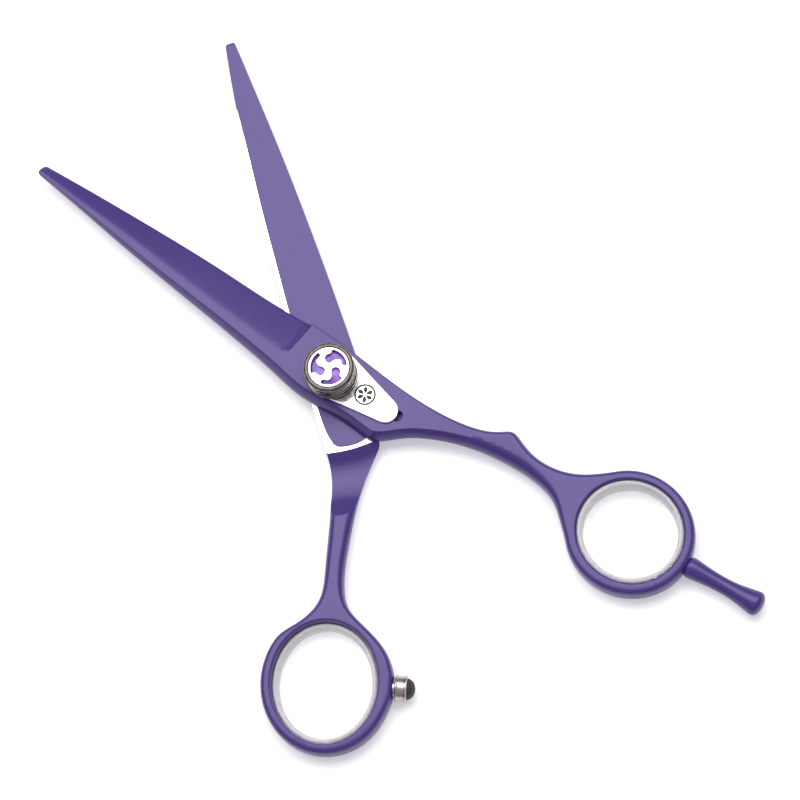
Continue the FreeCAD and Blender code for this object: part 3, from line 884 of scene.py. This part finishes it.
def thumb_sides(upper):
    """Rounding rule for the thumb half's outside."""

    def rule(loop):
        x, y = loop[:, 0], loop[:, 1]
        middle = np.interp(y, [-45, -40, -33, -26, -20, 80], [-14, -12.6, -9.2, -6, -2, 0])
        on_right = x > middle
        in_ring = y < -45
        if upper:
            width = np.where(
                on_right,
                table(y, [(75, 0.1), (-14, 0.15), (-18, 0.4), (-24, 1.6), (-30, 1.9), (-40, 1.7),
                          (-45, ring_round)]),
                table(y, [(75, 0.08), (-14, 0.08), (-18, 0.4), (-24, 1.4), (-30, 1.6), (-40, 1.5),
                          (-45, ring_round)]),
            )
            drop = table(y, [(75, 0.02), (-14, 0.02), (-18, 0.3), (-24, 1.9), (-30, 2.1), (-45, ring_drop)])
        else:
            width = np.where(
                on_right,
                table(y, [(75, 0.3), (50, 0.7), (10, 1.2), (-14, 1.2), (-24, 1.8), (-45, ring_round)]),
                table(y, [(75, 0.1), (12, 0.12), (8, 0.5), (-14, 0.8), (-24, 1.7), (-45, ring_round)]),
            )
            drop = np.where(
                on_right,
                table(y, [(75, 0.8), (50, 1.4), (10, 2.2), (-14, 2.2), (-45, ring_drop)]),
                table(y, [(75, 0.05), (12, 0.06), (8, 0.5), (-14, 1.0), (-24, 1.9), (-45, ring_drop)]),
            )
        power = table(y, [(75, 2.0), (-20, 2.0), (-30, 2.3), (-45, ring_power)])
        return *tip_and_ring(y, in_ring, width, drop, power), 0.0

    return rule


scoop_profile = natural_spline(
    [(0.0, thumb_high), (0.1, 2.72), (0.22, 2.2), (0.36, 2.05), (0.6, 2.35), (0.8, 3.1), (1.0, 4.35),
     (1.3, 7.0)], 0.03)


def scoop(points):
    """The ground scoop behind the ride land: a steep drop, a level floor, then a run up to the shank."""
    x, y = points[:, 0], points[:, 1]
    start = land_end(x)
    end = -26.7 - 0.2 * (x + 5.7)
    return np.interp((start - y) / (start - end), scoop_profile[:, 0], scoop_profile[:, 1])


def bar(points):
    """Height of the round shank and of the ring's top."""
    return level(points[:, 1], [(-26.6, 4.4), (-34.0, 4.85), (-46.0, ring_high)])


def thumb_upper(points):
    behind = points[:, 1] < land_end(points[:, 0])
    return np.where(behind, bar(points), thumb_high - hollow(points, 1))


def thumb_cap(points):
    behind = points[:, 1] < land_end(points[:, 0])
    return np.where(behind, scoop(points), 99.0)


def thumb_lower(points):
    y = points[:, 1]
    z = level(y, [(-13.0, thumb_low), (-28.0, 0.44), (-42.0, ring_low)])
    return np.where(y > 9, thumb_high - table(y, thickness_rows) + ground(points, -1), z)


def scallop_line():
    """The curved edge where the scoop runs out into the round shank."""
    found = []
    for s in np.linspace(-3.0, 3.6, 34):
        y = np.arange(-22.0, -29.0, -0.05)
        x = -6.0 + (y + 26.0) * 0.38 + s
        p = np.stack([x, y], 1)
        metal = inside(p, thumb_outline)
        if metal.sum() < 20:
            continue
        high = shaped_bar(p)
        low = scoop(p)
        over = np.flatnonzero(metal & (low > high))
        if len(over) and over[0] > 0 and metal[over[0] - 1]:
            found.append(p[over[0]])
    found = np.array(found)
    away = nearest(found, thumb_outline)[0]
    return found[away > 0.12]


def shaped_bar(points):
    """The shank's height with its sides rounded over, as the mesh will have it."""
    away, index = nearest(points, thumb_outline)
    side = thumb_sides(True)(thumb_outline)
    width, drop, power, crease = (np.broadcast_to(v, len(thumb_outline))[index] for v in side)
    return bar(points) - drop * (1 - rise(away / width, power, crease))


thumb_hole_loop = lean(full_circle(thumb_hole, thumb_hole_half, 0.4), np.array(thumb_hole), thumb_lean)
bolt_loop = full_circle((0, 0), bolt_hole_r, 0.35)
hole_sides = even(hole_round, ring_drop, ring_power)
forged = forge(
    [thumb_outline, thumb_hole_loop, bolt_loop],
    [thumb_sides(True), hole_sides, pivot_sides],
    [thumb_sides(False), hole_sides, pivot_sides],
    thumb_upper, thumb_lower,
    [hollow_line(1, 0.0), hollow_line(1, step_run), land_line(1), scallop_line()],
    [shoulder_line(-1)],
    cap=thumb_cap,
)
add_forging("thumb", "thumb_blade", forged, 1, 1)


# ---------------------------------------------------------------- pivot
plate_low, plate_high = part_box("tension_plate")[0].z / MM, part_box("tension_plate")[1].z / MM
dial_low, dial_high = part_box("tension_dial")[0].z / MM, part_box("tension_dial")[1].z / MM
gem_low, gem_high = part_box("gem_disc")[0].z / MM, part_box("gem_disc")[1].z / MM
face_low, face_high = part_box("face_plate")[0].z / MM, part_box("face_plate")[1].z / MM


def flat_at(z):
    """A face at one height."""
    return lambda points: np.full(len(points), z)


plate_head, plate_tail, plate_head_r, plate_tail_r = (0.45, 0.0), (0.45, -12.8), 5.0, 2.5
plate_lean = math.degrees(math.asin((plate_head_r - plate_tail_r) / -plate_tail[1]))
head_arc = arc(plate_head, plate_head_r, -plate_lean, 180 + plate_lean, 0.3)
tail_arc = arc(plate_tail, plate_tail_r, 180 + plate_lean, 360 - plate_lean, 0.25)
plate_outline = closed(
    head_arc, natural_spline([head_arc[-1], tail_arc[0]], 0.5)[1:], tail_arc[1:],
    natural_spline([tail_arc[-1], head_arc[0]], 0.5)[1:])
locating_pin, pin_bore_r, plate_bore_r = (0.9, -14.6), 0.52, 2.6
plate_bore = full_circle((0, 0), plate_bore_r, 0.3)
pin_bore = full_circle(locating_pin, pin_bore_r, 0.12)
points, faces, part = forge(
    [plate_outline, plate_bore, pin_bore],
    [even(0.22, 0.14), pivot_sides, even(0.05, 0.03)],
    [even(0.1, 0.05), pivot_sides, even(0.05, 0.03)],
    flat_at(plate_high), flat_at(plate_low), grid=1.0,
)
add_to_half("tension_leaf", "finger", points, faces, ["tension_plate"], [steel_bright])

# A plain printed rosette on the leaf: a ring round six petals.
rosette_centre = np.array([0.62, -7.7])
rosette_out, rosette_in, petal_count = 2.15, 1.74, 6
ink_rise = 0.02
ink_faces = flat_at(plate_high + ink_rise), flat_at(plate_high - ink_rise)
ring_loops = [full_circle(rosette_centre, rosette_out, 0.1), full_circle(rosette_centre, rosette_in, 0.1)]
ring_sides, petal_sides = [even(0.03, 0.005)] * 2, [even(0.02, 0.005)]
points, faces, part = forge(ring_loops, ring_sides, ring_sides, *ink_faces, grid=0.5)
add_to_half("leaf_rosette_ring", "finger", points, faces, [], [black_ink])
petal = natural_spline(
    [(0.22, 0.0), (0.7, 0.33), (1.15, 0.4), (1.62, 0.0), (1.15, -0.4), (0.7, -0.33), (0.22, 0.0)], 0.08)[:-1]
for k in range(petal_count):
    turned = lean(petal, np.array([0.0, 0.0]), 360 / petal_count * k + 30) + rosette_centre
    points, faces, part = forge([turned], petal_sides, petal_sides, *ink_faces, grid=0.4)
    add_to_half("leaf_rosette_petal_%d" % k, "finger", points, faces, [], [black_ink])

# Dial: plain foot, fine slanted knurl, rounded shoulder, then down into the pocket.
dial_r, pocket_r, core_r = 4.95, 4.15, 3.3
knurl_count, knurl_deep = 72, 0.22
knurl_low, knurl_high = dial_low + 0.55, dial_high - 0.5
knurl_slant = 3.2              # radians of a ridge's width per millimetre of height
foot_r = dial_r + 0.09


def knurled(s, r, angles):
    """The dial's radius at a height, cut by the knurl where the profile is the knurled wall."""
    if not knurl_low - 1e-6 <= s <= knurl_high + 1e-6 or r < dial_r - 0.3:
        return np.full(len(angles), r)
    turn = angles * knurl_count + (s - knurl_low) * knurl_slant
    ridge = np.abs((turn / (2 * math.pi)) % 1 * 2 - 1)
    fade = min(1.0, (s - knurl_low) / 0.2, (knurl_high - s) / 0.2)
    return r - knurl_deep * ridge * max(fade, 0)


dial_profile = [
    (dial_low, core_r), (dial_low, dial_r), (dial_low + 0.08, foot_r), (dial_low + 0.38, foot_r),
    (dial_low + 0.46, dial_r), (dial_low + 0.55, dial_r),
]
dial_profile += [(s, dial_r) for s in np.linspace(knurl_low, knurl_high, 14)]
dial_profile += [
    (dial_high - 0.5, dial_r - 0.06), (dial_high - 0.3, dial_r - 0.12), (dial_high - 0.12, dial_r - 0.25),
    (dial_high - 0.02, dial_r - 0.42), (dial_high, dial_r - 0.55), (dial_high - 0.04, pocket_r + 0.04),
    (dial_high - 0.16, pocket_r),
    (gem_low - 0.02, pocket_r), (gem_low - 0.02, core_r),
]
around = knurl_count * 6
angles = np.linspace(0, 2 * math.pi, around, endpoint=False)
points = []
for s, r in dial_profile:
    radius = knurled(s, r, angles)
    points.append(np.stack([radius * np.cos(angles), radius * np.sin(angles), np.full(around, s)], 1))
faces = strips(len(dial_profile), around, is_closed=True)
points = np.concatenate(points)
reach = np.array([np.hypot(points[list(f), 0], points[list(f), 1]).mean() for f in faces])
middle_z = np.array([points[list(f), 2].mean() for f in faces])
# Painted highlight: the knurl's ridge tops and the foot's outer rim take the lighter steel.
highlit_faces = (reach > dial_r - 0.35 * knurl_deep) & (middle_z > knurl_low + 0.15) & (middle_z < knurl_high - 0.1)
highlit_faces |= (middle_z < knurl_low - 0.1) & (reach > dial_r + 0.05)
add_mesh(
    "knurled_dial", points * MM, faces, "dial", ["tension_dial"], [steel_dark, steel_highlit],
    highlit_faces.astype(int), 40,
)

# Face plate with three comma windows, over a cut jewel.
face_r, window_r, window_turn = 4.1, 3.54, -35.45
face_loop = full_circle((0, 0), face_r, 0.2)
window_rim = arc((0, 0), window_r, 6, 78.5, 0.12)
window_inner = natural_spline(
    [tuple(window_rim[-1]), (0.61, 3.25), (0.42, 2.81), (-0.36, 2.45), (-0.74, 1.75), (-0.55, 1.2),
     (0.11, 0.82), (0.8, 1.26), (1.46, 1.55), (2.41, 1.3), (2.6, 0.66), (3.08, 0.2), tuple(window_rim[0])],
    0.12)
window = closed(window_rim, window_inner[1:-1])
windows = [lean(window, np.array([0.0, 0.0]), 120 * k + window_turn) for k in range(3)]
points, faces, part = forge(
    [face_loop] + windows, [even(0.3, 0.2)] + [even(0.09, 0.07)] * 3, [even(0.05, 0.03)] * 4,
    flat_at(face_high), flat_at(face_low), grid=0.6,
)
add_mesh("face_disc", points * MM, faces, "dial", ["face_plate"], [steel_bright])

# Jewel: rows of (radius, height, turn in facets) from the girdle up to the table.
facets = 16
angles = np.linspace(0, 2 * math.pi, facets, endpoint=False)
rows = [
    (face_r, gem_low, 0), (face_r, gem_high - 0.55, 0), (3.3, gem_high - 0.25, 0.5),
    (1.9, gem_high - 0.06, 0),
]
points = [(0, 0, gem_low)]
for r, z, shift in rows:
    a = angles + shift * 2 * math.pi / facets
    points += list(np.stack([r * np.cos(a), r * np.sin(a), np.full(facets, z)], 1))
points.append((0, 0, gem_high - 0.02))
faces = [(0, 1 + (j + 1) % facets, 1 + j) for j in range(facets)]
for i, (row, following) in enumerate(zip(rows, rows[1:])):
    a, b = 1 + i * facets, 1 + (i + 1) * facets
    for j in range(facets):
        k = (j + 1) % facets
        if following[2] > row[2]:
            faces += [(a + j, a + k, b + j), (a + k, b + k, b + j)]
        else:
            faces += [(a + j, a + k, b + k), (a + j, b + k, b + j)]
last_row = 1 + (len(rows) - 1) * facets
faces += [(last_row + j, last_row + (j + 1) % facets, len(points) - 1) for j in range(facets)]
add_mesh("cut_jewel", np.array(points) * MM, faces, "dial", ["gem_disc"], [gem_violet], sharp=3)


# ---------------------------------------------------------------- inserts
def sleeve_section(wall, low, high):
    """A soft sleeve's section: outer side up, rounded rim, inner side down."""
    corners = [
        (wall - 0.02, low + 0.5), (wall - 0.02, high - 0.7), (wall - 0.1, high - 0.3),
        (wall - 0.35, high - 0.05), (wall * 0.5, high), (0.28, high - 0.1), (0.1, high - 0.4),
        (0.0, high - 0.9), (0.06, (low + high) / 2), (0.0, low + 0.9), (0.1, low + 0.4), (0.28, low + 0.1),
        (wall * 0.5, low), (wall - 0.3, low + 0.08),
    ]
    return natural_spline(corners + [corners[0]], 0.12)[:-1]


def add_sleeve(half, hole, bore_half, leaning, high):
    section = sleeve_section(sleeve_wall, sleeve_low, high)
    points, faces = sweep_ring(hole, bore_half, leaning, section)
    add_to_half(half + "_sleeve", half, points, faces, [half + "_insert"], [soft_clear])


sleeve_wall, sleeve_low, finger_sleeve_high, thumb_sleeve_high = 1.13, 0.02, 4.98, 3.78
add_sleeve("finger", finger_hole, finger_bore_half, 0, finger_sleeve_high)
add_sleeve("thumb", thumb_hole, thumb_bore_half, thumb_lean, thumb_sleeve_high)


# ---------------------------------------------------------------- finger rest and bumper
rest_lean = 6.8
rest_heading = -90 + rest_lean
ring_middle_z = (ring_low + ring_high) / 2

# Profiles are (distance from the seat, radius) pairs.
rest_curve = [(-0.45, 0.0), (-0.45, 1.6), (0.0, 1.8), (0.12, 1.95), (0.35, 2.02), (0.9, 2.02)]
rest_curve += smooth_profile(
    [(1.6, 1.98), (3.8, 1.74), (6.0, 1.6), (8.0, 1.58), (10.2, 1.73), (12.4, 2.08), (14.1, 2.38)], 0.4)
rest_curve += smooth_profile(
    [(14.3, 2.4), (14.8, 2.37), (15.3, 2.05), (15.65, 1.5), (15.85, 0.8), (15.9, 0.15)], 0.12)
rest_curve += [(15.9, 0.0)]
points, faces = spin(rest_curve)
rest_reach = finger_ring_half[1] + 0.05
rest_seat = (*(np.array(finger_ring) + rest_reach * unit(rest_heading)), ring_middle_z)
points = aim(points, rest_seat, rest_heading)
add_to_half("finger_rest_bar", "finger", points, faces, ["finger_rest"], [steel_coat])

cup_end = 0.35 + 2.25
cup_curve = [
    (-0.4, 0.0), (-0.4, 1.65), (0.3, 1.65), (0.34, 2.3), (0.42, 2.48), (0.52, 2.55), (0.68, 2.55),
    (0.76, 2.5), (0.8, 2.44), (0.88, 2.42), (2.0, 2.42), (2.08, 2.44), (2.12, 2.52), (2.2, 2.58),
    (2.32, 2.6), (2.5, 2.54),
    (cup_end, 2.4), (cup_end, 2.12), (cup_end - 0.12, 2.06), (cup_end - 1.0, 2.06), (cup_end - 1.0, 0.0),
]
points, faces = spin(cup_curve)
bumper_start = (*bumper_seat, ring_middle_z)
points = aim(points, bumper_start, bumper_lean)
add_to_half("bumper_cup", "thumb", points, faces, ["bumper_ferrule"], [steel_satin])

plug_length, plug_dome = 4.05, 1.6
plug_curve = [(cup_end - 0.98, 0.0), (cup_end - 0.98, 2.0)]
for k in range(13):
    a = math.radians(7.5 * k)
    plug_curve.append((plug_length - plug_dome + plug_dome * math.sin(a), 2.03 * math.cos(a) ** 0.92))
plug_curve[-1] = (plug_length, 0.0)
points, faces = spin(plug_curve)
points = aim(points, bumper_start, bumper_lean)
add_to_half("bumper_plug", "thumb", points, faces, ["bumper_rubber"], [soft_black])


# ---------------------------------------------------------------- stage, light and camera
def flat_square(name, half, z, stage_material):
    corners = [(-half, -half, z), (half, -half, z), (half, half, z), (-half, half, z)]
    mesh = bpy.data.meshes.new(name)
    mesh.from_pydata(corners, [], [(0, 1, 2, 3)])
    mesh.materials.append(stage_material)
    made = bpy.data.objects.new(name, mesh)
    bpy.context.scene.collection.objects.link(made)


paper = material(
    "white_paper", (0.9, 0.9, 0.905), 0.0, 0.8, Emission_Color=(1, 1, 1, 1), Emission_Strength=0.35)
flat_square("table_top", 3.0, -0.0001, paper)

turn = Matrix.Rotation(math.radians(-picture_turn), 4, "Z")
swing = Matrix.Rotation(math.radians(camera_swing), 4, "Z")
tilt = Matrix.Rotation(math.radians(camera_tilt), 4, "X")
facing = turn @ swing @ tilt @ swing.inverted()
middle = turn.to_3x3() @ Vector((picture_centre[0], picture_centre[1], 0)) * MM
middle.z = ride_z * MM
back = facing.to_3x3() @ Vector((0, 0, 1))

lens = bpy.data.cameras.new("camera")
lens.sensor_width = 36
lens.lens = 135
lens.clip_start, lens.clip_end = 0.05, 20
camera = bpy.data.objects.new("camera", lens)
bpy.context.scene.collection.objects.link(camera)
camera.matrix_world = Matrix.Translation(middle + back * camera_distance) @ facing
bpy.context.scene.camera = camera


def softbox(name, towards, distance, wide, deep, radiance):
    """A lamp facing the shears. Deep is its size in the plane of its tilt, radiance what a mirror shows."""
    lamp = bpy.data.lights.new(name, "AREA")
    lamp.shape = "RECTANGLE"
    lamp.size, lamp.size_y = wide, deep
    lamp.energy = radiance * math.pi * wide * deep
    made = bpy.data.objects.new(name, lamp)
    bpy.context.scene.collection.objects.link(made)
    direction = Vector(towards).normalized()
    made.location = middle + direction * distance
    made.rotation_euler = (-direction).to_track_quat("-Z", "Y").to_euler()


light_tilt, light_shift = math.radians(21.0), 0.06
light_distance, light_wide, light_deep, light_radiance = 0.9, 1.05, 0.6, 3.9
across = Vector((-back.x, -back.y, 0)).normalized() * math.sin(light_tilt)
sideways = Vector((-back.y, back.x, 0)).normalized() * light_shift
light_towards = (across.x + sideways.x, across.y + sideways.y, math.cos(light_tilt))
softbox("overhead_softbox", light_towards, light_distance, light_wide, light_deep, light_radiance)

world = bpy.data.worlds.new("studio")
world.use_nodes = True
bpy.context.scene.world = world
nodes = world.node_tree.nodes
where = nodes.new("ShaderNodeTexCoord")
split = nodes.new("ShaderNodeSeparateXYZ")
sky = nodes.new("ShaderNodeValToRGB")
sky.color_ramp.elements[0].position = 0.0
sky.color_ramp.elements[0].color = (0.12, 0.12, 0.125, 1)
sky.color_ramp.elements[1].position = 0.85
sky.color_ramp.elements[1].color = (0.5, 0.5, 0.51, 1)
world.node_tree.links.new(where.outputs["Generated"], split.inputs["Vector"])
world.node_tree.links.new(split.outputs["Z"], sky.inputs["Fac"])
world.node_tree.links.new(sky.outputs["Color"], nodes["Background"].inputs["Color"])
bpy.context.scene.view_settings.view_transform = "Standard"
